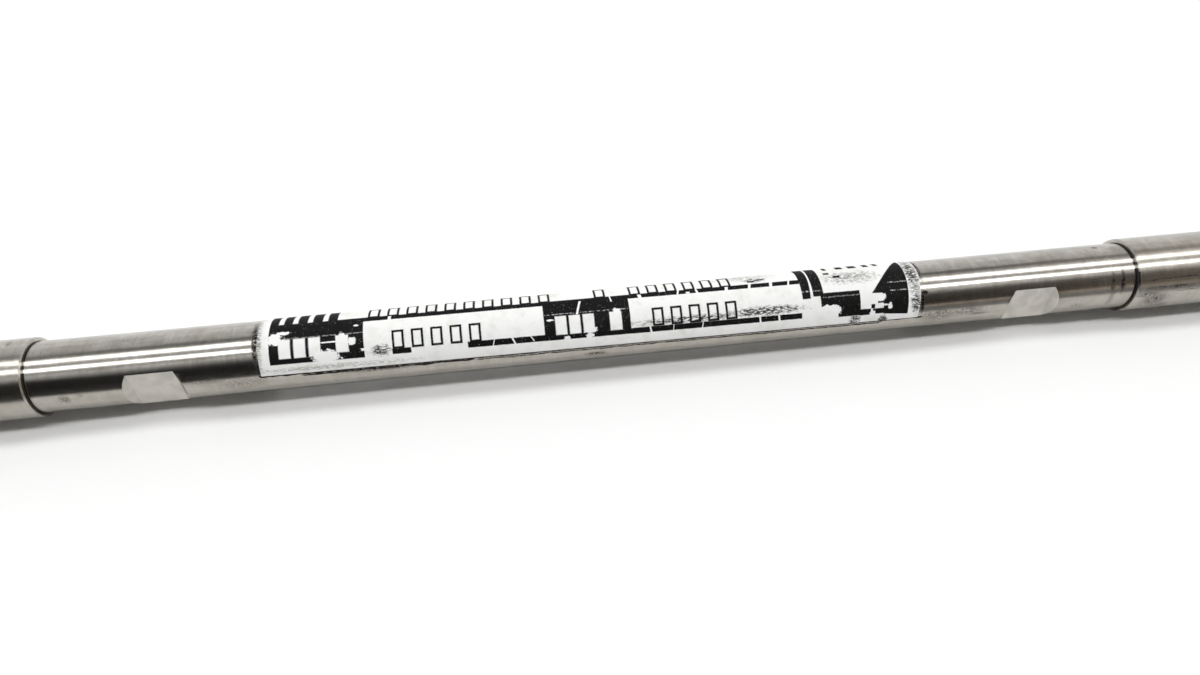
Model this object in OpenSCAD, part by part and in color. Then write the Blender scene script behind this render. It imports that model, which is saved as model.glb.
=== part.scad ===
// Packed column for liquid chromatography: a steel tube with a screwed end fitting on each end.
// It lies on its two round fittings. X runs along the bore from inlet to outlet, Z is up,
// and the origin is the middle of the bore.

/* [Tube] */
// Length of the tube between its two end faces
tube_len = 150; // [110:1:300]
// Outside diameter of the tube
tube_od = 7.94; // [7.3:0.01:12]
// Diameter of the packed bore
bore_d = 4.6; // [2.1:0.1:5.2]
// Chamfer where the full tube steps down to each thread
tube_chamfer = 0.3; // [0.1:0.05:0.4]
// Chamfer round each sealing face
face_chamfer = 0.1; // [0.05:0.05:0.2]

/* [Tube thread] */
// Outside diameter of the thread on each end of the tube
thread_d = 7; // [6.7:0.05:7.2]
// Depth of that thread, from crest to root
thread_depth = 0.46; // [0.2:0.01:0.5]
// Rise of the thread in one turn
thread_pitch = 0.75; // [0.35:0.05:1]
// Turns of thread that hold each fitting
thread_turns = 10; // [6:1:12]
// Plain length turned down beyond the last turn
thread_relief = 1.25; // [0.8:0.05:2]

/* [Wrench flats] */
// Distance across the flats on the tube
tube_flat_af = 6.35; // [5.8:0.05:6.8]
// Length of the tube's flats at their floor
tube_flat_len = 4.9; // [3:0.1:6]
// Distance from a fitting's rim to the middle of the tube's flats
tube_flat_inset = 12.7; // [8:0.1:14]
// Distance across the flats on each fitting
fitting_flat_af = 7.94; // [7.2:0.01:8.4]
// Length of a fitting's flats at their floor
fitting_flat_len = 5; // [3:0.1:7]
// Distance from a fitting's outer face to the middle of its flats
fitting_flat_inset = 5.5; // [5:0.1:8]
// Slope of the ends of every flat
flat_ramp = 45; // [30:1:60]

/* [End fittings] */
// Wall of the skirt outside the tube
skirt_wall = 0.41; // [0.3:0.01:1]
// Length of the plain skirt inside its mouth
skirt_len = 4; // [2.5:0.1:5]
// Gap between the fitting's inner step and the shoulder of the tube
shoulder_gap = 0.5; // [0.2:0.1:1]
// Radial clearance between skirt and tube
skirt_clearance = 0.05; // [0.03:0.01:0.1]
// Radial clearance over the crests of the thread
thread_clearance = 0.03; // [0.02:0.01:0.06]
// Chamfer on the rim of the skirt
rim_chamfer = 0.15; // [0.05:0.05:0.2]
// Chamfer on the outer end of each fitting
nose_chamfer = 0.8; // [0.3:0.1:1.2]

/* [Frit and seal] */
// Thickness of each frit and of the ring that seals it
frit_t = 1.5; // [0.8:0.1:2.5]
// Wall of the ring round the frit
ring_wall = 0.85; // [0.5:0.05:0.95]
// Radial clearance between the ring and its seat
ring_clearance = 0.03; // [0.02:0.01:0.08]
// Diameter of the shallow cone that spreads the flow over the frit
spreader_d = 4; // [2:0.1:4.4]
// Depth of that cone
spreader_depth = 0.35; // [0.15:0.05:0.6]

/* [Ports] */
// Diameter of the hole that leads through each fitting
capillary_d = 0.5; // [0.25:0.05:0.8]
// Length of that hole
capillary_len = 1; // [0.5:0.1:3]
// Diameter of the pocket for the end of the tubing
pilot_d = 1.6; // [1.2:0.1:2]
// Depth of that pocket
pilot_len = 1.8; // [1:0.1:4]
// Diameter of the ferrule cone at its mouth
ferrule_d = 4; // [3:0.1:4.4]
// Full angle of the ferrule cone
ferrule_angle = 40; // [30:1:60]
// Diameter of the port's wall, at the root of its thread
port_d = 4.86; // [4.7:0.01:5.4]
// Length of that wall
port_len = 6.5; // [4:0.1:10]
// Chamfer at the port's mouth
port_chamfer = 0.3; // [0.1:0.05:0.5]

/* [Label] */
// Length of the label along the tube
label_len = 74.8; // [20:0.1:80]
// Distance from the middle of the tube to the middle of the label, towards the inlet
label_offset = 1.2; // [0:0.1:4]
// Thickness of the paper
label_t = 0.1; // [0.05:0.01:0.2]
// Angle round the tube that the label leaves bare
label_gap = 72; // [10:1:180]
// Direction of the middle of that bare strip, below the horizontal on the front
label_gap_tilt = 26; // [0:1:90]
// Angle by which the label is wound out of line with the tube
label_skew = 0.45; // [0:0.05:1]

/* [Hidden] */
$fn = 96;
past = 1;

tube_end = tube_len / 2;
thread_len = thread_turns * thread_pitch;
thread_root_d = thread_d - 2 * thread_depth;
spigot_len = thread_len + thread_relief;

fitting_bore_d = tube_od + 2 * skirt_clearance;
fitting_od = fitting_bore_d + 2 * skirt_wall;
fitting_thread_d = thread_d + 2 * thread_clearance;
fitting_step = tube_end - spigot_len + shoulder_gap;
rim = fitting_step - skirt_len;

frit_ring_d = bore_d + 2 * ring_wall;
frit_seat_d = frit_ring_d + 2 * ring_clearance;
frit_seat = tube_end + frit_t;
capillary_end = frit_seat + spreader_depth + capillary_len;
pilot_end = capillary_end + pilot_len;
ferrule_len = (ferrule_d - pilot_d) / 2 / tan(ferrule_angle / 2);
port_floor = pilot_end + ferrule_len;
port_mouth = port_floor + port_len;
nose = port_mouth;

// A round bar or hole along X, between two places
module round_x(d, from, to) {
    taper_x(d, d, from, to);
}

// The same with its own diameter at each end
module taper_x(d_from, d_to, from, to) {
    translate([from, 0, 0])
        rotate([0, 90, 0])
            cylinder(d1 = d_from, d2 = d_to, h = to - from);
}

// A round bar along X with both end edges chamfered
module chamfered_bar_x(d, from, to, chamfer_from, chamfer_to) {
    taper_x(d - 2 * chamfer_from, d, from, from + chamfer_from);
    round_x(d, from + chamfer_from, to - chamfer_to);
    taper_x(d, d - 2 * chamfer_to, to - chamfer_to, to);
}

// The metal that a cutter takes off one side of a bar to leave a flat with sloping ends
module flat_cut(across, len, bar_d) {
    depth = (bar_d - across) / 2 + past;
    spread = depth / tan(flat_ramp);
    linear_extrude(height = bar_d + 2 * past, center = true)
        polygon([[-len / 2, 0], [len / 2, 0],
                 [len / 2 + spread, depth], [-len / 2 - spread, depth]]);
}

// A pair of flats on the two sides of a bar, centred at a place along X
module flat_pair(at, across, len, bar_d) {
    for (side = [0, 180])
        rotate([side, 0, 0])
            translate([at, across / 2, 0])
                flat_cut(across, len, bar_d);
}

module column_tube() {
    shoulder = tube_end - spigot_len;
    color("silver")
        difference() {
            union() {
                chamfered_bar_x(tube_od, -shoulder, shoulder, tube_chamfer, tube_chamfer);
                chamfered_bar_x(thread_root_d, -tube_end, tube_end, face_chamfer, face_chamfer);
            }
            round_x(bore_d, -tube_end - past, tube_end + past);
            for (side = [-1, 1])
                flat_pair(side * (rim - tube_flat_inset), tube_flat_af, tube_flat_len, tube_od);
        }
}

module packed_bed() {
    color("ivory")
        round_x(bore_d, -tube_end, tube_end);
}

module frit() {
    color("darkgray")
        round_x(bore_d, tube_end, frit_seat);
}

module frit_ring() {
    color("whitesmoke")
        difference() {
            round_x(frit_ring_d, tube_end, frit_seat);
            round_x(bore_d, tube_end - past, frit_seat + past);
        }
}

module end_fitting() {
    color("silver")
        difference() {
            chamfered_bar_x(fitting_od, rim, nose, rim_chamfer, nose_chamfer);
            round_x(fitting_bore_d, rim - past, fitting_step);
            round_x(fitting_thread_d, rim - past, tube_end);
            round_x(frit_seat_d, rim - past, frit_seat);
            taper_x(spreader_d, capillary_d, frit_seat, frit_seat + spreader_depth);
            round_x(capillary_d, frit_seat, pilot_end);
            round_x(pilot_d, capillary_end, port_floor);
            taper_x(pilot_d, ferrule_d, pilot_end, port_floor);
            round_x(port_d, port_floor, nose + past);
            taper_x(port_d, port_d + 2 * (port_chamfer + past), nose - port_chamfer, nose + past);
            flat_pair(nose - fitting_flat_inset, fitting_flat_af, fitting_flat_len, fitting_od);
        }
}

// Turns a piece made for the outlet round to the inlet
module at_inlet() {
    rotate([0, 0, 180])
        children();
}

// The strip that the label leaves bare, as a wedge from the axis
module bare_strip() {
    reach = tube_od;
    half_width = reach * tan(label_gap / 2);
    rotate([label_gap_tilt, 0, 0])
        rotate([0, label_skew, 0])
            rotate([0, 90, 0])
                linear_extrude(height = 2 * label_len, center = true)
                    polygon([[0, 0], [-half_width, -reach], [half_width, -reach]]);
}

module label() {
    color("white")
        difference() {
            round_x(tube_od + 2 * label_t, -label_offset - label_len / 2,
                    -label_offset + label_len / 2);
            round_x(tube_od, -tube_end, tube_end);
            translate([-label_offset, 0, 0])
                bare_strip();
        }
}

column_tube();
packed_bed();
label();
at_inlet() frit();  // inlet_frit
at_inlet() frit_ring();  // inlet_frit_ring
at_inlet() end_fitting();  // inlet_end_fitting
frit();  // outlet_frit
frit_ring();  // outlet_frit_ring
end_fitting();  // outlet_end_fitting
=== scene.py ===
import math

import bmesh
import bpy
from mathutils import Matrix, Vector


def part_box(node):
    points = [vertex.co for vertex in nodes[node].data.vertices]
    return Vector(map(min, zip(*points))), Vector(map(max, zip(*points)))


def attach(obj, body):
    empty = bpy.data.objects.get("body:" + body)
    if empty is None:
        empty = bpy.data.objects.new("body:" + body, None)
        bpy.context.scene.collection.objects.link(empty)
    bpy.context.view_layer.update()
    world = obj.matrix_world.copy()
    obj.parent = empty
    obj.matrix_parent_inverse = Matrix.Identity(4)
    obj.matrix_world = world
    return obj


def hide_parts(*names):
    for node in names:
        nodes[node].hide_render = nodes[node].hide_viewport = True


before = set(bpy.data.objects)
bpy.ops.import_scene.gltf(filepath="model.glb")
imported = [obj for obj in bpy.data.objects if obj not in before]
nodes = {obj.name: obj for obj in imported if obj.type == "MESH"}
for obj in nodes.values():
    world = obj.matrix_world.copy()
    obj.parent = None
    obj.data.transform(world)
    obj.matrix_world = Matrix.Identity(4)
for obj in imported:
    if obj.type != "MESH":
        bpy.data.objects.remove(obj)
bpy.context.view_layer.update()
mm = 0.001

tubeLow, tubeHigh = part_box("column_tube")
capLow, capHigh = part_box("outlet_end_fitting")
labelLow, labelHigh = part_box("label")
ground = capLow.z
print("frame loaded:", len(nodes), "nodes, tube", round((tubeHigh.x - tubeLow.x) / mm), "mm long")


def middleOf(low, high):
    return (low + high) / 2


# node trees: feed() links the sockets it is given and sets the rest, put() makes a node and feeds it
def feed(tree, node, inputs):
    for name, value in inputs.items():
        if isinstance(value, bpy.types.NodeSocket):
            tree.links.new(value, node.inputs[name])
        else:
            node.inputs[name].default_value = value


def put(tree, kind, inputs=None, **settings):
    made = tree.nodes.new(kind)
    for name, value in settings.items():
        setattr(made, name, value)
    feed(tree, made, inputs or {})
    return made


def calc(tree, operation, first, second=0.0):
    return put(tree, "ShaderNodeMath", {0: first, 1: second}, operation=operation).outputs[0]


def vectorCalc(tree, operation, first, second=(0.0, 0.0, 0.0), output="Vector"):
    made = put(tree, "ShaderNodeVectorMath", {0: first, 1: second}, operation=operation)
    return made.outputs[output]


def dot(tree, first, second):
    return vectorCalc(tree, "DOT_PRODUCT", first, second, "Value")


def lengthOf(tree, vector):
    return vectorCalc(tree, "LENGTH", vector, output="Value")


def combine(tree, x=0.0, y=0.0, z=0.0):
    return put(tree, "ShaderNodeCombineXYZ", {"X": x, "Y": y, "Z": z}).outputs[0]


def objectPlace(tree):
    return put(tree, "ShaderNodeTexCoord").outputs["Object"]


def inMillimetres(tree, place):
    made = put(tree, "ShaderNodeVectorMath", {0: place, "Scale": 1 / mm}, operation="SCALE")
    return made.outputs["Vector"]


# degrees round X, from straight up towards the front
def turnOf(tree, axes):
    toFront = calc(tree, "MULTIPLY", axes["Y"], -1.0)
    return calc(tree, "DEGREES", calc(tree, "ARCTAN2", toFront, axes["Z"]))


def ramp(tree, value, low, high, to=(0.0, 1.0)):
    made = put(tree, "ShaderNodeMapRange", {"Value": value, "From Min": low, "From Max": high,
                                            "To Min": to[0], "To Max": to[1]})
    return made.outputs["Result"]


# a mix node has a socket of the same name for each kind of value, so they go by number
def blend(tree, factor, first, second):
    made = put(tree, "ShaderNodeMix", {0: factor, 6: first, 7: second}, data_type="RGBA")
    return made.outputs[2]


def noise(tree, place, scale, detail=3.0, roughness=0.55):
    made = put(tree, "ShaderNodeTexNoise", {"Vector": place, "Scale": scale, "Detail": detail,
                                            "Roughness": roughness})
    return made.outputs["Fac"]


# noise that shows from one of its values to another, up to a strength
def cloud(tree, place, scale, detail, roughness, low, high, strength=1.0):
    return ramp(tree, noise(tree, place, scale, detail, roughness), low, high, (0.0, strength))


# a value from 0 to 1 moved to lie round zero, and stretched
def centred(tree, value, stretch):
    return calc(tree, "MULTIPLY", calc(tree, "SUBTRACT", value, 0.5), stretch)


def weigh(tree, first, firstShare, second, secondShare):
    return calc(tree, "ADD", calc(tree, "MULTIPLY", first, firstShare),
                calc(tree, "MULTIPLY", second, secondShare))


def fold(tree, operation, values):
    total = values[0]
    for value in values[1:]:
        total = calc(tree, operation, total, value)
    return total


# masks are joined as they come: a material with all of them waiting is too big for Cycles
def stack(tree, total, value):
    return value if total is None else calc(tree, "MAXIMUM", total, value)


def opposite(tree, value):
    return calc(tree, "SUBTRACT", 1.0, value)


def newGroup(name, inputs, outputs):
    tree = bpy.data.node_groups.new(name, "ShaderNodeTree")
    for title, kind, value in inputs:
        socket = tree.interface.new_socket(name=title, in_out="INPUT", socket_type="NodeSocket" + kind)
        if value is not None:
            socket.default_value = value
    for title, kind in outputs:
        tree.interface.new_socket(name=title, in_out="OUTPUT", socket_type="NodeSocket" + kind)
    given = tree.nodes.new("NodeGroupInput").outputs
    out = tree.nodes.new("NodeGroupOutput").inputs
    return tree, given, out


def apply(tree, name, inputs):
    return put(tree, "ShaderNodeGroup", inputs, node_tree=groups[name]).outputs


# millimetres along a round bar that lies on X, and degrees round it from the top towards the front
def makeRoundPlace():
    tree, given, out = newGroup("roundPlace", [("Place", "Vector", None)],
                                [("Along", "Float"), ("Turn", "Float"), ("Radius", "Float"),
                                 ("Round", "Vector")])
    axes = put(tree, "ShaderNodeSeparateXYZ", {0: inMillimetres(tree, given["Place"])}).outputs
    across = combine(tree, y=axes["Y"], z=axes["Z"])
    tree.links.new(axes["X"], out["Along"])
    tree.links.new(turnOf(tree, axes), out["Turn"])
    tree.links.new(lengthOf(tree, across), out["Radius"])
    tree.links.new(vectorCalc(tree, "NORMALIZE", across), out["Round"])
    return tree


# a noise is its scale per mm, detail and roughness. Round the bar, the lines drift and wander by mm
lathe = {
    "broad": (1.1, 2.0), "fine": (5.0, 2.0, 0.7), "finer": (14.0, 1.0), "wave": (0.9, 2.0),
    "drift": 0.15, "wander": 2.2, "broadStreak": 0.45, "fineStreak": 0.55, "fineHeight": 0.5,
    "finerHeight": 0.2,
}


# rings left by the lathe: streaks of tone, and height for the bump
def makeTurnedLines(settings):
    tree, given, out = newGroup("turnedLines", [("Along", "Float", None), ("Round", "Vector", None)],
                                [("Streak", "Float"), ("Height", "Float")])
    along = combine(tree, given["Along"])
    drift = vectorCalc(tree, "MULTIPLY", given["Round"], [settings["drift"]] * 3)
    place = vectorCalc(tree, "ADD", along, drift)
    broad = noise(tree, place, *settings["broad"])
    fine = noise(tree, place, *settings["fine"])
    finer = noise(tree, place, *settings["finer"])
    wander = vectorCalc(tree, "MULTIPLY", given["Round"], [settings["wander"]] * 3)
    wave = noise(tree, vectorCalc(tree, "ADD", along, wander), *settings["wave"])
    streak = weigh(tree, broad, settings["broadStreak"], fine, settings["fineStreak"])
    tree.links.new(streak, out["Streak"])
    height = weigh(tree, fine, settings["fineHeight"], finer, settings["finerHeight"])
    tree.links.new(calc(tree, "ADD", height, wave), out["Height"])
    return tree


# a dirty or bare patch with a ragged edge, set by its middle and half size
def makePatch():
    tree, given, out = newGroup("patch", [("Place", "Vector", None), ("Centre", "Vector", (0, 0, 0)),
                                          ("Half", "Vector", (1, 1, 1)), ("Ragged", "Float", 0.0),
                                          ("Soft", "Float", 0.2)],
                                [("Mask", "Float")])
    away = vectorCalc(tree, "SUBTRACT", given["Place"], given["Centre"])
    reach = lengthOf(tree, vectorCalc(tree, "DIVIDE", away, given["Half"]))
    edge = calc(tree, "ADD", reach, given["Ragged"])
    low = calc(tree, "SUBTRACT", 1.0, given["Soft"])
    high = calc(tree, "ADD", 1.0, given["Soft"])
    tree.links.new(opposite(tree, ramp(tree, edge, low, high)), out["Mask"])
    return tree


# how far a place lies outside a box, from how far it is past the box's sides
def outsideBy(tree, over):
    return calc(tree, "MAXIMUM", dot(tree, over, (1, 0, 0)), dot(tree, over, (0, 1, 0)))


# a printed bar, with a slant for cracks
def makePrintBar():
    tree, given, out = newGroup("printBar", [("Place", "Vector", None), ("Centre", "Vector", (0, 0, 0)),
                                             ("Half", "Vector", (1, 1, 1)), ("Slant", "Float", 0.0),
                                             ("Soft", "Float", 0.03)],
                                [("Mask", "Float")])
    away = vectorCalc(tree, "SUBTRACT", given["Place"], given["Centre"])
    rise = dot(tree, away, (0, 1, 0))
    lean = combine(tree, calc(tree, "MULTIPLY", rise, given["Slant"]))
    offset = vectorCalc(tree, "ABSOLUTE", vectorCalc(tree, "SUBTRACT", away, lean))
    edge = outsideBy(tree, vectorCalc(tree, "SUBTRACT", offset, given["Half"]))
    low = calc(tree, "MULTIPLY", given["Soft"], -1.0)
    tree.links.new(opposite(tree, ramp(tree, edge, low, given["Soft"])), out["Mask"])
    return tree


# a row of empty boxes as on a form, drawn with a thin stroke that is soft at its edges
def makeBoxRow():
    soft = 0.3
    tree, given, out = newGroup("boxRow", [("Place", "Vector", None), ("Start", "Vector", (0, 0, 0)),
                                           ("Half", "Vector", (0.7, 1, 0)), ("Pitch", "Float", 2.1),
                                           ("Count", "Float", 5.0), ("Stroke", "Float", 0.1)],
                                [("Mask", "Float")])
    local = vectorCalc(tree, "SUBTRACT", given["Place"], given["Start"])
    step = calc(tree, "FLOOR", calc(tree, "DIVIDE", dot(tree, local, (1, 0, 0)), given["Pitch"]))
    inRow = calc(tree, "MULTIPLY", calc(tree, "GREATER_THAN", step, -0.5),
                 calc(tree, "LESS_THAN", step, calc(tree, "SUBTRACT", given["Count"], 0.5)))
    shift = combine(tree, calc(tree, "MULTIPLY", step, given["Pitch"]))
    cell = vectorCalc(tree, "SUBTRACT", vectorCalc(tree, "SUBTRACT", local, shift), given["Half"])
    over = vectorCalc(tree, "SUBTRACT", vectorCalc(tree, "ABSOLUTE", cell), given["Half"])
    edge = calc(tree, "ABSOLUTE", calc(tree, "ADD", outsideBy(tree, over), given["Stroke"]))
    full = calc(tree, "MULTIPLY", given["Stroke"], 1 - soft)
    none = calc(tree, "MULTIPLY", given["Stroke"], 1 + soft)
    line = opposite(tree, ramp(tree, edge, full, none))
    tree.links.new(calc(tree, "MULTIPLY", line, inRow), out["Mask"])
    return tree


groups = {"roundPlace": makeRoundPlace(), "turnedLines": makeTurnedLines(lathe), "patch": makePatch(),
          "printBar": makePrintBar(), "boxRow": makeBoxRow()}
print("shared shader groups:", len(groups))


def newTree(name):
    material = bpy.data.materials.new(name)
    material.use_nodes = True
    material.node_tree.nodes.clear()
    return material, material.node_tree


def newMaterial(name):
    material, tree = newTree(name)
    shader = put(tree, "ShaderNodeBsdfPrincipled")
    put(tree, "ShaderNodeOutputMaterial", {"Surface": shader.outputs[0]})
    return material, tree, shader


# the depth is in mm
def giveBump(tree, shader, height, strength, depth):
    bump = put(tree, "ShaderNodeBump", {"Height": height, "Strength": strength, "Distance": depth * mm})
    tree.links.new(bump.outputs[0], shader.inputs["Normal"])


def giveMaterial(thing, material):
    thing.data.materials.clear()
    thing.data.materials.append(material)


# wear and painted shade on both steels. A noise is its scale per mm, detail and roughness. A cloud adds
# the values between which it grows, and its strength. A ramp is from and to, and the values they lead to
# where not 0 and 1
wear = {
    "grain": (4.0, 4.0, 0.7), "raggedness": 3.0, "ringWear": (0.3, 0.5, (0.7, 1.0)),
    "markWear": (0.42, 0.58, (0.15, 1.0)), "markSoft": 0.45, "ringSoft": 0.6, "glueSoft": 0.5,
    "swing": (0.5, 4.0, 0.6), "swingTurn": 9.0,
    "smudge": (0.16, 5.0, 0.65, 0.5, 0.75, 0.5), "speck": (6.0, 2.0, 0.55, 0.7, 0.76, 0.35),
    "mottle": (0.9, 4.0, 0.7, 0.42, 0.72, 0.4), "drag": (1.6, 4.0, 0.65, 0.48, 0.7, 0.4),
    "dragStretch": (0.12, 1, 1), "shadeBelow": (62.0, 75.0, (0.0, 0.32)), "streaks": (0.36, 0.62),
    "patchy": (0.55, 3.0, 0.6, 0.42, 0.62), "dirtAndShade": (0.0, 0.75),
    "smudgeRoughness": 0.08, "dirtRoughness": 0.55, "dirtMetal": (0.3, 1.0, (1.0, 0.2)), "specular": 0.15,
    "cutter": (3.0, 3.0), "cutterStretch": (0.3, 1, 3),
}
# places are mm along and degrees from the top towards the front. Marks and glue are a middle, a half size
# and a strength, and the glue is askew by degrees a mm. Rings are a place along, half a width, a strength
# and the turns where they begin and end. The rings are painted shade in the seams and at the inner ends of
# the flats, with some grime, and they stop where the highlights cross the seams
tubeSteel = {
    "clean": (0.54, 0.525, 0.49, 1), "streak": (0.46, 0.44, 0.405, 1), "smudge": (0.29, 0.262, 0.215, 1),
    "milled": (0.65, 0.622, 0.575, 1), "grimeAndShade": (0.012, 0.009, 0.008, 1),
    "roughness": 0.22, "milledRoughness": 0.5, "anisotropy": 0.88, "bump": 0.0014,
    "flatMiddle": 50.05, "flatHalf": 3.3, "flatRadius": 3.955, "flatTurn": 52.5,
    "marks": ((-59.3, 84, 0.6, 8, 0.6), (-57.6, 79, 0.35, 4, 0.3), (-38.95, 22, 0.3, 38, 1.3),
              (-38.75, 15, 0.2, 12, 1.5), (-44.5, 76, 2.5, 5, 0.35), (-40.5, 86, 2.5, 14, 0.3),
              (38.5, 84, 2.2, 14, 0.45), (41.8, 82, 2.0, 9, 0.5), (43.3, 90, 1.2, 3, 0.6),
              (56.0, 96, 0.9, 6, 0.35), (36.5, 42, 0.4, 4, 2.0), (36.25, 58, 0.2, 17, 1.8),
              (36.4, -10, 0.22, 30, 1.2), (59.75, 54, 0.24, 17, 1.0), (61.0, 54, 0.28, 19, 1.2),
              (59.2, -20, 0.4, 5, 0.7), (18.4, 88, 0.25, 2.5, 0.9), (-2.0, 98, 1.2, 4, 0.9),
              (-26.0, 84, 4.0, 4, 0.7), (61.5, -8, 1.0, 10, 0.25), (57.5, 52, 0.8, 4, 0.4),
              (-52.0, -10, 3.0, 5, 0.25)),
    "glue": ((-1.2, 81.7, 37.4, 1.6, 3.6), (-25.0, 85.2, 9.0, 1.4, 4.0), (8.0, 86.0, 23.0, 1.0, 3.0)),
    "skew": 0.1105,
    "shadeAndGrimeRings": ((-62.66, 0.1, 0.9, -180, 16), (-62.66, 0.1, 0.9, 23, 29), (-62.66, 0.1, 0.9, 34.5, 180),
              (62.62, 0.14, 1.0, -180, 16), (62.62, 0.14, 1.0, 23, 28.5), (62.62, 0.14, 1.0, 34.5, 180),
              (59.9, 0.3, 0.2, 70, 100), (-47.15, 0.14, 0.6, 57, 105), (47.0, 0.08, 0.35, 60, 105)),
}
capSteel = {
    "clean": (0.54, 0.525, 0.48, 1), "streak": (0.46, 0.44, 0.4, 1), "smudge": (0.3, 0.27, 0.23, 1),
    "milled": (0.65, 0.622, 0.575, 1), "grimeAndShade": (0.012, 0.009, 0.008, 1),
    "roughness": 0.25, "milledRoughness": 0.42, "anisotropy": 0.8, "bump": 0.0016,
    "flatMiddle": 83.95, "flatHalf": 2.6, "flatRadius": 4.4, "flatTurn": 63.0,
    "marks": ((-64.8, -18, 0.3, 6, 0.6), (64.3, 80, 1.6, 5, 0.6), (65.4, 92, 1.5, 12, 0.7),
              (68.0, 70, 1.8, 4, 0.5), (66.5, 108, 1.2, 8, 0.5), (65.5, 70, 1.6, 4, 0.4)),
    "glue": ((76.5, 62.0, 12.8, 1.0, 0.8), (67.0, 75.0, 2.6, 0.9, 0.8), (77.0, 84.0, 9.0, 0.8, 0.5)),
    "skew": -0.1,
    "shadeAndGrimeRings": ((62.8, 0.07, 0.9, 41, 60),),
}


def makeSteel(name, settings):
    material, tree, shader = newMaterial(name)
    place = objectPlace(tree)
    where = apply(tree, "roundPlace", {"Place": place})
    along, turn = where["Along"], where["Turn"]
    lines = apply(tree, "turnedLines", {"Along": along, "Round": where["Round"]})

    # milled flats, front and back: their floors and ramps lie inside the turned radius
    inside = calc(tree, "LESS_THAN", where["Radius"], settings["flatRadius"])
    fromMiddle = calc(tree, "SUBTRACT", calc(tree, "ABSOLUTE", along), settings["flatMiddle"])
    near = calc(tree, "LESS_THAN", calc(tree, "ABSOLUTE", fromMiddle), settings["flatHalf"])
    fromSide = calc(tree, "SUBTRACT", calc(tree, "ABSOLUTE", turn), 90.0)
    aside = calc(tree, "LESS_THAN", calc(tree, "ABSOLUTE", fromSide), 90.0 - settings["flatTurn"])
    milled = fold(tree, "MULTIPLY", [inside, near, aside])

    # dirt and painted shade: ragged marks, rings and glue, in a plane of mm along and degrees round
    spot = inMillimetres(tree, place)
    grain = noise(tree, spot, *wear["grain"])
    ragged = centred(tree, grain, wear["raggedness"])
    flat = combine(tree, along, turn)
    worn = ramp(tree, grain, *wear["ringWear"])
    broken = ramp(tree, grain, *wear["markWear"])
    grimeAndShade = None
    for middle, angle, half, halfTurn, strength in settings["marks"]:
        mark = apply(tree, "patch", {"Place": flat, "Centre": (middle, angle, 0), "Ragged": ragged,
                                     "Half": (half, halfTurn, 1), "Soft": wear["markSoft"]})
        grimeAndShade = stack(tree, grimeAndShade, fold(tree, "MULTIPLY", [mark["Mask"], broken, strength]))
    # painted shade with some grime: dark rings in the seams and at the inner ends of the flats
    for middle, half, strength, start, end in settings["shadeAndGrimeRings"]:
        shadeAndGrimeRing = apply(tree, "printBar", {"Place": flat, "Centre": (middle, middleOf(start, end), 0),
                                        "Half": (half, (end - start) / 2, 1),
                                        "Soft": half * wear["ringSoft"]})
        grimeAndShade = stack(tree, grimeAndShade, fold(tree, "MULTIPLY", [shadeAndGrimeRing["Mask"], worn, strength]))
    swing = centred(tree, noise(tree, spot, *wear["swing"]), wear["swingTurn"])
    skewed = calc(tree, "SUBTRACT", turn, calc(tree, "MULTIPLY", along, settings["skew"]))
    beside = combine(tree, along, calc(tree, "ADD", swing, skewed))
    # glue: adhesive grime, and along the label's lower edge also a painted shadow under that edge
    for middle, angle, half, halfTurn, strength in settings["glue"]:
        glue = apply(tree, "printBar", {"Place": beside, "Centre": (middle, angle, 0),
                                        "Half": (half, halfTurn, 1), "Soft": wear["glueSoft"]})
        grimeAndShade = stack(tree, grimeAndShade, fold(tree, "MULTIPLY", [glue["Mask"], broken, strength]))

    # colour: streaks of the lathe, then smears, smudges and painted shade below, then the flats, then dirt
    # and painted shade
    streaks = ramp(tree, lines["Streak"], *wear["streaks"])
    colour = blend(tree, streaks, settings["streak"], settings["clean"])
    mottle = cloud(tree, spot, *wear["mottle"])
    drag = cloud(tree, vectorCalc(tree, "MULTIPLY", spot, wear["dragStretch"]), *wear["drag"])
    smudge = cloud(tree, spot, *wear["smudge"])
    # painted shade: the bar turns darker in the smudge colour from 62 degrees round from the top, on to
    # its underside
    shadeBelow = ramp(tree, calc(tree, "ABSOLUTE", turn), *wear["shadeBelow"])
    speck = cloud(tree, spot, *wear["speck"])
    for mask in (mottle, drag, smudge, shadeBelow, speck):
        colour = blend(tree, mask, colour, settings["smudge"])
    bare = blend(tree, cloud(tree, spot, *wear["patchy"]), settings["milled"], settings["clean"])
    colour = blend(tree, milled, colour, bare)
    # the grime colour lays both the dirt and the painted shade of the rings and of the glue line
    colour = blend(tree, ramp(tree, grimeAndShade, *wear["dirtAndShade"]), colour, settings["grimeAndShade"])

    smudged = settings["roughness"] + wear["smudgeRoughness"]
    rough = ramp(tree, smudge, 0.0, 1.0, (settings["roughness"], smudged))
    rough = ramp(tree, milled, 0.0, 1.0, (rough, settings["milledRoughness"]))
    rough = ramp(tree, grimeAndShade, 0.0, 1.0, (rough, wear["dirtRoughness"]))

    # the tangent goes round the bar like the lathe's lines, and the gloss is turned a quarter from it
    aroundAxis = put(tree, "ShaderNodeTangent", direction_type="RADIAL", axis="X").outputs[0]
    feed(tree, shader, {"Base Color": colour, "Roughness": rough, "Tangent": aroundAxis,
                        "Metallic": ramp(tree, grimeAndShade, *wear["dirtMetal"]),
                        "Specular IOR Level": wear["specular"],
                        "Anisotropic": settings["anisotropy"], "Anisotropic Rotation": 0.25})
    cutter = noise(tree, vectorCalc(tree, "MULTIPLY", spot, wear["cutterStretch"]), *wear["cutter"])
    height = put(tree, "ShaderNodeMix", {0: milled, 2: lines["Height"], 3: cutter}, data_type="FLOAT")
    giveBump(tree, shader, height.outputs[0], 1.0, settings["bump"])
    return material


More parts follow.
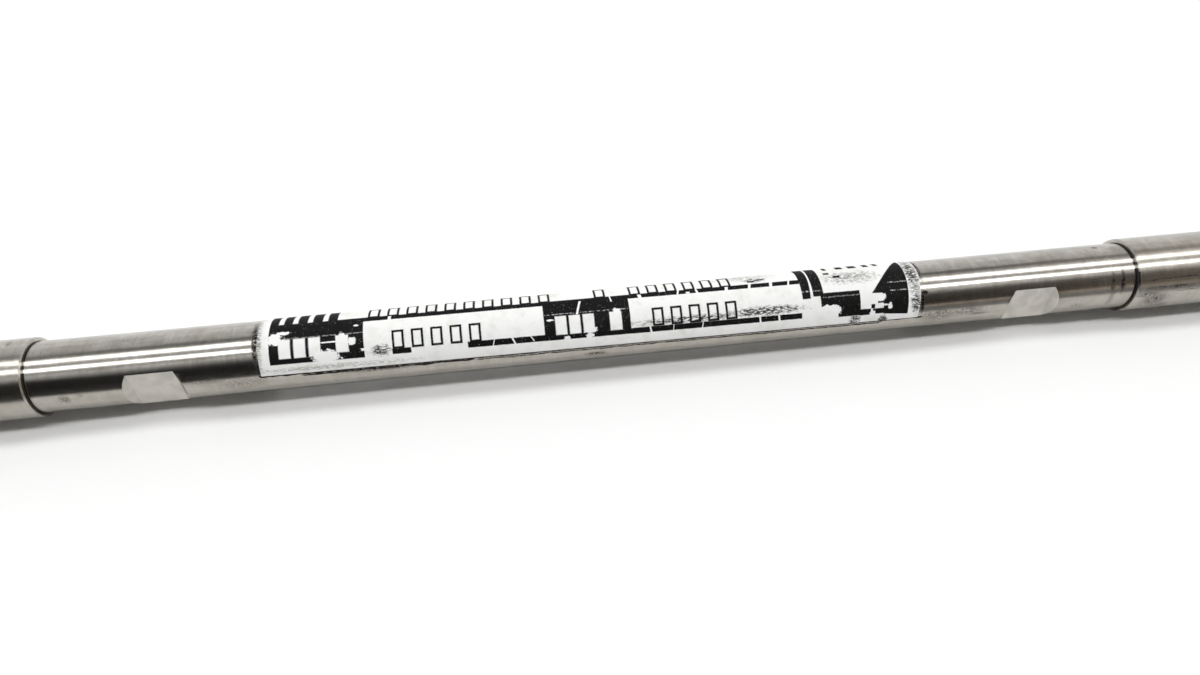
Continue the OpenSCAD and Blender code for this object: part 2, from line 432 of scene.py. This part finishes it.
# what the frits, their rings and the packing are made of: grain is cells per mm, bump is mm
plain = {
    "sintered": {"light": (0.36, 0.35, 0.33, 1), "dark": (0.1, 0.095, 0.09, 1), "metallic": 1.0,
                 "roughness": 0.55, "grain": 14.0, "bump": 0.03},
    "seal": {"light": (0.62, 0.53, 0.38, 1), "dark": (0.5, 0.41, 0.28, 1), "metallic": 0.0,
             "roughness": 0.42, "grain": 1.6, "bump": 0.004},
    "packing": {"light": (0.86, 0.85, 0.81, 1), "dark": (0.7, 0.68, 0.62, 1), "metallic": 0.0,
                "roughness": 0.9, "grain": 9.0, "bump": 0.03},
}
grainShape = {"cells": 0.6, "clumps": 0.6, "clumpScale": 0.4, "clumpDetail": 4.0, "tones": (0.35, 0.75),
              "sheen": (0.3, 0.7), "roughnessSpread": 0.06, "bumpStrength": 0.7}


def makeGrainy(name, settings):
    material, tree, shader = newMaterial(name)
    spot = inMillimetres(tree, objectPlace(tree))
    cells = put(tree, "ShaderNodeTexVoronoi", {"Vector": spot, "Scale": settings["grain"]})
    clumps = noise(tree, spot, settings["grain"] * grainShape["clumpScale"], grainShape["clumpDetail"])
    mixed = weigh(tree, cells.outputs["Distance"], grainShape["cells"], clumps, grainShape["clumps"])
    tone = ramp(tree, mixed, *grainShape["tones"])
    spread = grainShape["roughnessSpread"]
    roughness = (settings["roughness"] - spread, settings["roughness"] + spread)
    feed(tree, shader, {"Base Color": blend(tree, tone, settings["light"], settings["dark"]),
                        "Roughness": ramp(tree, clumps, *grainShape["sheen"], roughness),
                        "Metallic": settings["metallic"]})
    giveBump(tree, shader, opposite(tree, mixed), grainShape["bumpStrength"], settings["bump"])
    return material


steel = {"tube": makeSteel("turned_tube_steel", tubeSteel), "cap": makeSteel("turned_cap_steel", capSteel)}
grainy = {name: makeGrainy(name, settings) for name, settings in plain.items()}
giveMaterial(nodes["column_tube"], steel["tube"])
giveMaterial(nodes["packed_bed"], grainy["packing"])
for end in ("inlet", "outlet"):
    giveMaterial(nodes[end + "_end_fitting"], steel["cap"])
    giveMaterial(nodes[end + "_frit"], grainy["sintered"])
    giveMaterial(nodes[end + "_frit_ring"], grainy["seal"])
print("steel, frit, seal and packing materials done")

# label print, in mm: along from the middle of the tube, and up from a line turnAtZero degrees round it.
# Black bars, white blocks and rubbed lines are left, right, low, high; the rubbed lines are worn ink with
# a painted sheen of the lamps. Rows of boxes are left, low, count.
# Flakes, scuffs and cracks are a middle and a half size, then a strength for scuffs and a slant for cracks
label = {
    "paper": (0.93, 0.93, 0.915, 1), "aged": (0.68, 0.665, 0.59, 1), "torn": (0.94, 0.94, 0.935, 1),
    "ink": (0.003, 0.003, 0.003, 1), "worn": (0.07, 0.07, 0.065, 1),
    "turnAtZero": 43.2, "edgeTurn": 80.0, "sweep": 288.0, "skew": 0.45, "columns": 60, "steps": 120,
    "askew": 3.2, "askewShare": 0.28,
    "black": ((-37.42, -30.15, 1.9, 7.4), (-37.42, -27.33, -1.4, 3.42), (-37.42, 22.1, 2.8, 3.44),
              (-24.35, -22.3, -1.32, -0.7), (-16.15, -7.5, -1.36, -0.66), (-7.6, 2.08, -1.38, 3.4),
              (2.0, 21.8, -1.4, -0.74), (22.0, 23.1, 0.82, 7.4), (23.28, 24.5, 1.02, 7.4),
              (24.1, 28.75, -0.25, 1.34), (26.1, 28.75, -1.62, 0.5), (28.6, 29.95, -1.67, -0.92),
              (30.2, 31.6, -1.6, -0.95), (30.0, 30.45, -0.92, -0.42), (30.8, 31.5, -0.35, -0.12),
              (-30.2, 24.5, 7.1, 7.4), (26.15, 26.95, 3.25, 3.6), (25.2, 25.9, 3.95, 4.3),
              (16.15, 16.95, 3.72, 3.98), (17.3, 18.1, 4.0, 4.2), (25.5, 25.95, 5.0, 7.0),
              (27.1, 27.95, 5.0, 7.0), (28.6, 29.6, 5.0, 7.0), (30.4, 31.05, 5.0, 7.0),
              (31.7, 32.2, 5.1, 7.0)),
    "blocks": ((-36.5, -35.95, 3.42, 6.6), (-35.0, -34.45, 3.42, 6.6), (-33.4, -32.85, 3.42, 6.6),
               (-31.75, -31.2, 3.42, 6.6), (-36.4, -35.15, -0.8, 1.3), (-34.8, -33.55, -0.8, 1.3),
               (-33.2, -31.95, -0.8, 1.3), (-30.3, -28.95, -0.6, 1.3), (-6.35, -5.1, -0.8, 1.3),
               (-4.8, -3.55, -0.8, 1.3), (-3.25, -2.0, -0.8, 1.3), (-0.25, 1.1, -0.8, 1.3)),
    "rows": ((-24.3, -0.75, 5), (4.55, -0.75, 5), (-26.9, 3.3, 10), (-1.7, 3.3, 1), (2.3, 3.3, 6)),
    "boxHalf": (0.66, 1.05, 0), "boxPitch": 2.1, "boxStroke": 0.13,
    "cracks": ((-24.5, 3.12, 0.17, 0.6, 0.1), (-13.3, -1.0, 0.05, 0.4, 0.3),
               (-11.1, -1.0, 0.1, 0.45, -0.45), (-9.05, -0.9, 0.06, 0.35, -0.6),
               (0.1, 3.1, 0.07, 0.5, -0.15), (3.43, 3.1, 0.2, 0.5, -0.2), (7.87, 3.1, 0.1, 0.5, 0.3),
               (9.0, 2.95, 0.22, 0.12, 0), (10.03, 3.1, 0.12, 0.5, -0.2), (13.5, 3.1, 0.18, 0.5, 0.2),
               (16.2, 3.1, 0.15, 0.5, 0.3), (18.7, 3.1, 0.17, 0.5, 0.2), (20.78, 3.1, 0.1, 0.5, 0.3),
               (4.28, -1.05, 0.09, 0.4, -0.2), (6.9, -1.05, 0.04, 0.4, 0.1),
               (10.25, -1.05, 0.05, 0.4, 0.2), (16.9, -1.05, 0.1, 0.4, -0.1),
               (19.12, -1.1, 0.11, 0.5, -0.1), (-3.6, 2.2, 0.12, 0.85, 0.3), (23.2, 4.0, 0.06, 3.6, 0.06)),
    "flakes": ((-36.8, 1.45, 0.85, 0.7), (-35.9, 2.1, 0.75, 0.22), (-31.5, -0.95, 1.45, 0.72),
               (-28.1, 2.35, 0.28, 0.12), (-31.0, 0.62, 1.3, 0.1), (-28.6, 0.55, 0.45, 0.4),
               (-27.0, -0.55, 0.75, 0.2), (-29.6, 1.2, 0.3, 0.4), (-6.9, 0.9, 0.4, 0.12),
               (-5.2, -1.2, 0.35, 0.25), (-2.6, -1.15, 0.4, 0.3), (-2.3, -0.5, 0.6, 0.35),
               (0.6, 1.35, 0.35, 0.35), (24.9, -0.35, 0.9, 0.28), (25.9, -0.7, 0.55, 0.5),
               (24.3, -0.5, 0.5, 0.3), (31.3, 0.3, 0.5, 0.45), (32.25, -0.75, 0.26, 0.36),
               (31.5, -0.6, 0.5, 0.12), (30.2, -1.45, 0.3, 0.3)),
    "rubbedAndSheen": ((-37.4, -27.4, 1.36, 1.44), (-7.6, 2.1, 1.5, 1.58), (22.0, 24.5, 1.64, 1.78),
               (24.4, 28.7, 0.8, 0.88), (32.3, 34.4, 1.94, 2.04), (32.4, 34.4, 0.94, 1.04)),
    "scuffs": ((-25.6, -0.75, 0.9, 0.5, 1.5), (17.4, -0.12, 3.4, 0.42, 1.8), (9.0, -0.3, 5.5, 0.35, 1.2),
               (28.0, 3.2, 2.8, 0.8, 0.8), (17.0, 4.1, 1.2, 0.4, 1.2), (28.1, -2.2, 0.5, 0.8, 2.0),
               (31.5, -2.45, 0.4, 0.5, 2.4), (35.3, 3.3, 0.6, 1.9, 1.7), (35.4, -0.7, 0.5, 0.9, 1.9),
               (35.3, 1.2, 0.5, 1.2, 0.8), (-38.5, 1.5, 0.25, 3.0, 0.8), (-31.0, -2.1, 8.0, 0.25, 0.5),
               (16.0, 4.9, 3.0, 0.6, 0.5)),
    # the black field round the flow arrow: each edge is a point on it and the direction of the black
    "fieldEnd": ((34.5, 0, 0), (-0.999, 0.04, 0)),
    "fieldHead": (((30.3, 1.0, 0), (0.755, -0.656, 0)), ((30.3, 0.85, 0), (0.05, 0.999, 0)),
                  ((0, 7.4, 0), (0, -1, 0))),
    "fieldFoot": (((31.45, 0, 0), (0.999, 0.04, 0)), ((31.4, -1.68, 0), (0.09, 0.996, 0)),
                  ((31, 1.2, 0), (0, -1, 0))),
}
# how print and paper wear: noises and clouds as for the steel, in the label's own mm
paperWear = {
    "jitter": {"Scale": 6.0, "Detail": 2.0}, "jitterReach": (0.08, 0.08, 0), "grain": (2.2, 4.0, 0.7),
    "raggedness": 2.4, "fibre": (3.6, 3.0, 0.75), "inkSoft": 0.03, "flakeSoft": 0.08, "blockSoft": 0.05,
    "rubbedAndSheenSoft": 0.05, "rubbedAndSheenWear": (0.47, 0.56), "rubbedAndSheenStrength": 0.7,
    "pinholes": (9.0, 1.0, 0.55, 0.72, 0.76, 0.8), "strokeTurn": -32, "strokeStretch": (1.0, 4.0, 1.0),
    "strokes": (1.7, 3.0, 0.7, 0.45, 0.5), "scuffSoft": 0.5, "scuffStrength": 0.85,
    "stain": (0.35, 5.0, 0.7, 0.5, 0.8, 0.75), "roughness": (0.5, 0.62), "specular": 0.13,
    "bumpStrength": 0.2, "bump": 0.003,
}


def makeLabelPaper(settings):
    material, tree, shader = newMaterial("printed_paper")
    flat = put(tree, "ShaderNodeUVMap", uv_map="print").outputs[0]
    jitter = put(tree, "ShaderNodeTexNoise", {"Vector": flat, **paperWear["jitter"]}).outputs["Color"]
    jitter = vectorCalc(tree, "SUBTRACT", jitter, (0.5, 0.5, 0.5))
    spot = vectorCalc(tree, "ADD", flat, vectorCalc(tree, "MULTIPLY", jitter, paperWear["jitterReach"]))
    grain = noise(tree, flat, *paperWear["grain"])
    ragged = centred(tree, grain, paperWear["raggedness"])
    fibre = noise(tree, flat, *paperWear["fibre"])

    def bars(rows, soft, total=None):
        for left, right, low, high in rows:
            half = ((right - left) / 2, (high - low) / 2, 1)
            centre = (middleOf(left, right), middleOf(low, high), 0)
            bar = apply(tree, "printBar", {"Place": spot, "Centre": centre, "Half": half, "Soft": soft})
            total = stack(tree, total, bar["Mask"])
        return total

    def patches(rows, soft):
        total = None
        for across, up, half, halfUp, *strength in rows:
            patch = apply(tree, "patch", {"Place": flat, "Centre": (across, up, 0),
                                          "Half": (half, halfUp, 1), "Ragged": ragged, "Soft": soft})
            total = stack(tree, total, fold(tree, "MULTIPLY", [patch["Mask"], *strength]))
        return total

    # the black field is what lies inside all the edges of its head, or of its foot
    def inside(point, facing):
        away = vectorCalc(tree, "SUBTRACT", spot, point)
        return ramp(tree, dot(tree, away, facing), -paperWear["inkSoft"], paperWear["inkSoft"])

    fieldEnd = inside(*settings["fieldEnd"])
    head = fold(tree, "MINIMUM", [inside(*edge) for edge in settings["fieldHead"]] + [fieldEnd])
    foot = fold(tree, "MINIMUM", [inside(*edge) for edge in settings["fieldFoot"]] + [fieldEnd])
    ink = bars(settings["black"], paperWear["inkSoft"], calc(tree, "MAXIMUM", head, foot))
    torn = patches(settings["flakes"], paperWear["flakeSoft"])
    for across, up, half, halfUp, slant in settings["cracks"]:
        crack = apply(tree, "printBar", {"Place": spot, "Centre": (across, up, 0),
                                         "Half": (half, halfUp, 1), "Slant": slant})
        torn = stack(tree, torn, crack["Mask"])
    white = bars(settings["blocks"], paperWear["blockSoft"], torn)
    ink = calc(tree, "MULTIPLY", ink, opposite(tree, white))
    for left, low, count in settings["rows"]:
        row = apply(tree, "boxRow", {"Place": spot, "Start": (left, low, 0), "Half": settings["boxHalf"],
                                     "Pitch": settings["boxPitch"], "Count": float(count),
                                     "Stroke": settings["boxStroke"]})
        ink = stack(tree, ink, row["Mask"])
    # worn ink and painted sheen: pale lines across the black where the lamps are mirrored
    rubbedAndSheen = calc(tree, "MULTIPLY", bars(settings["rubbedAndSheen"], paperWear["rubbedAndSheenSoft"]),
                  ramp(tree, fibre, *paperWear["rubbedAndSheenWear"]))
    pinholes = cloud(tree, flat, *paperWear["pinholes"])
    ink = calc(tree, "MULTIPLY", ink, opposite(tree, pinholes))
    slanted = put(tree, "ShaderNodeMapping", {"Vector": flat, "Scale": paperWear["strokeStretch"],
                                              "Rotation": (0, 0, math.radians(paperWear["strokeTurn"]))})
    scuffs = patches(settings["scuffs"], paperWear["scuffSoft"])
    strokes = cloud(tree, slanted.outputs[0], *paperWear["strokes"])

    stain = cloud(tree, flat, *paperWear["stain"])
    colour = blend(tree, stain, settings["paper"], settings["aged"])
    colour = blend(tree, torn, colour, settings["torn"])
    scuffed = fold(tree, "MULTIPLY", [scuffs, strokes, paperWear["scuffStrength"]])
    colour = blend(tree, scuffed, colour, settings["worn"])
    colour = blend(tree, ink, colour, settings["ink"])
    # the pale lines, worn ink with a painted sheen, take the torn paper's white
    paleLines = fold(tree, "MULTIPLY", [rubbedAndSheen, ink, paperWear["rubbedAndSheenStrength"]])
    colour = blend(tree, paleLines, colour, settings["torn"])
    rough = ramp(tree, ink, 0.0, 1.0, paperWear["roughness"])
    feed(tree, shader, {"Base Color": colour, "Roughness": rough,
                        "Specular IOR Level": paperWear["specular"]})
    giveBump(tree, shader, fibre, paperWear["bumpStrength"], paperWear["bump"])
    return material


def makeThing(name, mesh, material, smooth=True):
    data = bpy.data.meshes.new(name)
    mesh.to_mesh(data)
    mesh.free()
    if smooth:
        data.shade_smooth()
    thing = bpy.data.objects.new(name, data)
    bpy.context.scene.collection.objects.link(thing)
    data.materials.append(material)
    return thing


# the sheet starts as a flat grid of one by one, gets its print, and is rolled round the tube and thickened
def makeLabel(settings):
    paper = makeLabelPaper(settings)
    outer = labelHigh.z
    perDegree = math.radians(1) * outer / mm
    sheet = bmesh.new()
    bmesh.ops.create_grid(sheet, x_segments=settings["columns"], y_segments=settings["steps"], size=0.5)
    length = labelHigh.x - labelLow.x
    middle = middleOf(labelHigh.x, labelLow.x)
    flatMap = sheet.loops.layers.uv.new("print")

    # the right-hand end is cut a little askew near the front edge
    def placeAlong(vert):
        short = max(0.0, settings["askewShare"] - (vert.co.y + 0.5)) if vert.co.x > 0 else 0
        return middle + vert.co.x * (length - short * settings["askew"] * mm)

    def placeRound(vert):
        return settings["edgeTurn"] - settings["sweep"] * (vert.co.y + 0.5)

    for face in sheet.faces:
        for loop in face.loops:
            up = (settings["turnAtZero"] - placeRound(loop.vert)) * perDegree
            loop[flatMap].uv = (placeAlong(loop.vert) / mm, up)
    lean = math.tan(math.radians(settings["skew"])) / outer
    for vert in sheet.verts:
        along = placeAlong(vert)
        turn = math.radians(placeRound(vert)) + along * lean
        vert.co = (along, -outer * math.sin(turn), outer * math.cos(turn))
    bmesh.ops.recalc_face_normals(sheet, faces=sheet.faces)
    bmesh.ops.solidify(sheet, geom=sheet.faces[:], thickness=outer - tubeHigh.z)
    bmesh.ops.recalc_face_normals(sheet, faces=sheet.faces)
    thing = makeThing("printed_label", sheet, paper)
    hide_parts("label")
    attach(thing, "column")
    return thing


printedLabel = makeLabel(label)
print("label done:", len(printedLabel.data.polygons), "faces")

# in mm, but for the places that start and end are measured back from: the tube's end face or, for the
# port, the fitting's nose. Root and crest are radii, and width and flat are how wide the tooth is at its
# root and at its crest
threads = {
    "tube": {"from": tubeHigh.x, "start": 7.5, "end": 0.4, "root": 3.0, "crest": 3.48, "pitch": 0.75,
             "width": 0.6, "flat": 0.12},
    "skirt": {"from": tubeHigh.x, "start": 7.875, "end": 0.4, "root": 3.55, "crest": 3.1, "pitch": 0.75,
              "width": 0.55, "flat": 0.12},
    "port": {"from": capHigh.x, "start": 6.347, "end": 0.647, "root": 2.45, "crest": 2.06, "pitch": 0.794,
             "width": 0.62, "flat": 0.12},
}
ridgeShape = {"stepsPerTurn": 36, "thinnest": 0.05, "sharpFrom": 30}


# a right-hand screw ridge round X: the tooth is spun and moved on by the pitch, and fades out at both ends
def makeThread(name, settings, material, towards):
    root, crest = settings["root"] * mm, settings["crest"] * mm
    pitch = settings["pitch"] * mm
    first = settings["from"] - settings["start"] * mm
    last = settings["from"] - settings["end"] * mm
    around = ridgeShape["stepsPerTurn"]
    steps = int((last - first) / pitch * around)
    tooth = bmesh.new()
    corners = []
    for shift, radius in ((-settings["width"] / 2, root), (-settings["flat"] / 2, crest),
                          (settings["flat"] / 2, crest), (settings["width"] / 2, root)):
        corners.append(tooth.verts.new((first + shift * mm, 0, radius)))
    for corner, following in zip(corners, corners[1:] + corners[:1]):
        tooth.edges.new((corner, following))
    bmesh.ops.spin(tooth, geom=tooth.verts[:] + tooth.edges[:], cent=(0, 0, 0), axis=(1, 0, 0),
                   angle=steps / around * 2 * math.pi, steps=steps, dvec=(pitch / around, 0, 0))
    bmesh.ops.holes_fill(tooth, edges=tooth.edges, sides=len(corners))
    for vert in tooth.verts:
        radius = math.hypot(vert.co.y, vert.co.z)
        fade = min(1.0, (vert.co.x - first) / pitch, (last - vert.co.x) / pitch)
        height = root + (radius - root) * max(ridgeShape["thinnest"], fade)
        vert.co.y *= height / radius
        vert.co.z *= height / radius
    if towards < 0:
        halfTurn = Matrix.Rotation(math.pi, 3, "Z")
        bmesh.ops.rotate(tooth, cent=(0, 0, 0), matrix=halfTurn, verts=tooth.verts)
    bmesh.ops.recalc_face_normals(tooth, faces=tooth.faces)
    ridge = makeThing(name, tooth, material)
    ridge.data.set_sharp_from_angle(angle=math.radians(ridgeShape["sharpFrom"]))
    return ridge


for end, towards in (("inlet", -1), ("outlet", 1)):
    for place, body in (("tube", "column"), ("skirt", end + "_cap"), ("port", end + "_cap")):
        kind = "tube" if place == "tube" else "cap"
        ridge = makeThread(end + "_" + place + "_thread", threads[place], steel[kind], towards)
        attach(ridge, body)
print("threads done")

# in metres: the tone is painted shade, darker at the front than at the back, and the floor fades into
# white between two distances
floorLook = {
    "size": 6.0, "near": (0.945, 0.945, 0.94, 1), "far": (0.985, 0.985, 0.985, 1), "tones": (-0.05, 0.04),
    "roughness": 0.9, "fade": (0.12, 0.4),
}


def makeFloor(settings):
    material, tree, shader = newMaterial("pale_floor")
    place = objectPlace(tree)
    depth = put(tree, "ShaderNodeSeparateXYZ", {0: place}).outputs["Y"]
    # painted shade: the floor is a little darker towards the front
    tone = blend(tree, ramp(tree, depth, *settings["tones"]), settings["near"], settings["far"])
    feed(tree, shader, {"Base Color": tone, "Roughness": settings["roughness"], "Specular IOR Level": 0.0})

    # far from the object the floor runs into the white background
    rays = put(tree, "ShaderNodeLightPath").outputs
    seen = calc(tree, "MAXIMUM", rays["Is Camera Ray"], rays["Is Glossy Ray"])
    away = ramp(tree, lengthOf(tree, place), *settings["fade"])
    glow = put(tree, "ShaderNodeEmission", {"Color": (1, 1, 1, 1), "Strength": 1.0})
    surface = shader.outputs[0].links[0].to_socket
    fade = put(tree, "ShaderNodeMixShader", {0: calc(tree, "MULTIPLY", away, seen), 1: shader.outputs[0],
                                             2: glow.outputs[0]})
    tree.links.new(fade.outputs[0], surface)
    sheet = bmesh.new()
    bmesh.ops.create_grid(sheet, x_segments=1, y_segments=1, size=settings["size"] / 2)
    bmesh.ops.translate(sheet, vec=(0, 0, ground), verts=sheet.verts)
    makeThing("floor", sheet, material, False)


# what is mirrored shows in bright metal only, and what is soft lights only the rest
def shineOn(thing, kind):
    thing.visible_diffuse = kind == "soft"
    thing.visible_glossy = kind == "mirrored"


def standAround(thing, kind):
    shineOn(thing, kind)
    thing.visible_camera = False
    thing.visible_transmission = False
    thing.visible_volume_scatter = False
    thing.visible_shadow = False


# a long arch over the stage, in metres. Its shades are degrees from straight up towards the front and
# brightness: one set is mirrored, the other gives soft light. They lean by degrees a metre to the right.
# Warm light lifts the right-hand end, and a gleam stands low in front at the right
room = {
    "mirrored": ((-70, 1.0), (-50, 0.75), (-31, 0.6), (-28, 0.15), (-18, 0.2), (-15, 0.6), (8, 0.4),
                 (29, 0.4), (35, 0.85), (41, 0.6), (46, 0.18), (51, 0.03), (90, 0.01)),
    "soft": ((-70, 1.0), (-50, 0.75), (-31, 0.6), (-28, 0.15), (-18, 0.2), (-15, 0.6), (8, 0.4),
             (22, 0.4), (26, 0.0), (56, 0.0), (60, 0.5), (80, 0.5), (90, 0.0)),
    "radius": 1.6, "halfLength": 4.0, "segments": 60, "lean": 4.0,
    "warm": (1.0, 0.84, 0.7, 1), "rightEnd": (1.15, 1.5, (0.0, 0.27)), "gleam": (84.0, 86.0, (0.0, 0.5)),
    "gleamAlong": (0.2, 0.6),
}


def makeArch(settings, kind):
    material, tree = newTree(kind + "_room")
    axes = put(tree, "ShaderNodeSeparateXYZ", {0: objectPlace(tree)}).outputs
    turn = calc(tree, "ADD", turnOf(tree, axes), calc(tree, "MULTIPLY", axes["X"], settings["lean"]))
    first, last = settings[kind][0][0], settings[kind][-1][0]
    shades = put(tree, "ShaderNodeValToRGB", {0: ramp(tree, turn, first, last)})
    stops = shades.color_ramp.elements
    for number, (angle, value) in enumerate(settings[kind]):
        share = (angle - first) / (last - first)
        stop = stops[number] if number < 2 else stops.new(share)
        stop.position = share
        stop.color = (value, value, value, 1)
    surface = put(tree, "ShaderNodeEmission", {"Color": shades.outputs[0]})
    if kind == "mirrored":
        rightEnd = ramp(tree, axes["X"], *settings["rightEnd"])
        gleam = calc(tree, "MULTIPLY", ramp(tree, turn, *settings["gleam"]),
                     ramp(tree, axes["X"], *settings["gleamAlong"]))
        lift = put(tree, "ShaderNodeEmission", {"Color": settings["warm"],
                                                "Strength": calc(tree, "MAXIMUM", rightEnd, gleam)})
        surface = put(tree, "ShaderNodeAddShader", {0: surface.outputs[0], 1: lift.outputs[0]})
    put(tree, "ShaderNodeOutputMaterial", {"Surface": surface.outputs[0]})

    shell = bmesh.new()
    back = math.radians(first)
    y, z = -settings["radius"] * math.sin(back), settings["radius"] * math.cos(back)
    left = shell.verts.new((-settings["halfLength"], y, z))
    right = shell.verts.new((settings["halfLength"], y, z))
    shell.edges.new((left, right))
    bmesh.ops.spin(shell, geom=shell.verts[:] + shell.edges[:], cent=(0, 0, 0), axis=(1, 0, 0),
                   angle=math.radians(last - first), steps=settings["segments"])
    standAround(makeThing(kind + "_room", shell, material), kind)


# the dark front of the room also lies in the mirror image of the floor, darkest at the left. In metres
card = {"size": (4.1, 1.58, 1), "middle": -0.81, "hover": 0.0003, "tones": (-0.06, 0.06, (0.02, 0.25))}


def makeCard(settings):
    material, tree = newTree("mirrored_dark")
    sideways = put(tree, "ShaderNodeSeparateXYZ", {0: objectPlace(tree)}).outputs["X"]
    grey = put(tree, "ShaderNodeEmission", {"Strength": ramp(tree, sideways, *settings["tones"])})
    put(tree, "ShaderNodeOutputMaterial", {"Surface": grey.outputs[0]})
    sheet = bmesh.new()
    bmesh.ops.create_grid(sheet, x_segments=1, y_segments=1, size=0.5)
    bmesh.ops.scale(sheet, vec=settings["size"], verts=sheet.verts)
    height = ground + settings["hover"]
    bmesh.ops.translate(sheet, vec=(0, settings["middle"], height), verts=sheet.verts)
    standAround(makeThing("mirrored_dark", sheet, material, False), "mirrored")


# strip lamps along the object: degrees from straight up towards the front, degrees wide and strength.
# Their length and height are in metres
lamps = {
    "mirrored": ((-3.9, 11.3, 3.5), (21.0, 9.5, 4.4)), "soft": ((-13.0, 14.0, 3.15), (12.5, 7.0, 7.2)),
    "length": 2.4, "height": 1.0,
}


def makeStrips(settings):
    height = settings["height"]
    for kind in ("mirrored", "soft"):
        for tilt, spread, strength in settings[kind]:
            lamp = bpy.data.lights.new(kind + "_strip", "AREA")
            lamp.shape = "RECTANGLE"
            lamp.size = settings["length"]
            lamp.size_y = 2 * height * math.tan(math.radians(spread / 2))
            lamp.energy = strength * math.pi * lamp.size * lamp.size_y
            thing = bpy.data.objects.new(lamp.name, lamp)
            bpy.context.scene.collection.objects.link(thing)
            shineOn(thing, kind)
            turn = Matrix.Rotation(math.radians(tilt), 4, "X")
            thing.matrix_world = turn @ Matrix.Translation((0, 0, height))


# white to look at and to mirror, with little light of its own
backdrop = {"colour": (1, 1, 1, 1), "ambient": 0.05}


def makeWorld(settings):
    world = bpy.data.worlds.new("studio")
    bpy.context.scene.world = world
    world.use_nodes = True
    tree = world.node_tree
    tree.nodes.clear()
    rays = put(tree, "ShaderNodeLightPath").outputs
    seen = calc(tree, "MAXIMUM", rays["Is Camera Ray"], rays["Is Glossy Ray"])
    seen = calc(tree, "MAXIMUM", seen, rays["Is Transmission Ray"])
    power = ramp(tree, seen, 0.0, 1.0, (settings["ambient"], 1.0))
    back = put(tree, "ShaderNodeBackground", {"Color": settings["colour"], "Strength": power})
    put(tree, "ShaderNodeOutputWorld", {"Surface": back.outputs[0]})


# all in mm
view = {"place": (-9.60, -65.81, 70.76), "aim": (-1.31, -2.09, 0), "lens": 24.98, "sensor": 36.0,
        "nearest": 5}


def makeCamera(settings):
    camera = bpy.data.cameras.new("camera")
    camera.lens = settings["lens"]
    camera.sensor_width = settings["sensor"]
    camera.clip_start = settings["nearest"] * mm
    thing = bpy.data.objects.new("camera", camera)
    bpy.context.scene.collection.objects.link(thing)
    place = Vector(settings["place"]) * mm
    aim = Vector(settings["aim"]) * mm
    turn = (aim - place).to_track_quat("-Z", "Y").to_matrix().to_4x4()
    thing.matrix_world = Matrix.Translation(place) @ turn
    bpy.context.scene.camera = thing


makeFloor(floorLook)
makeArch(room, "mirrored")
makeArch(room, "soft")
makeCard(card)
makeStrips(lamps)
makeWorld(backdrop)
makeCamera(view)
bpy.context.scene.view_settings.view_transform = "Standard"
print("stage, lamps and camera done")
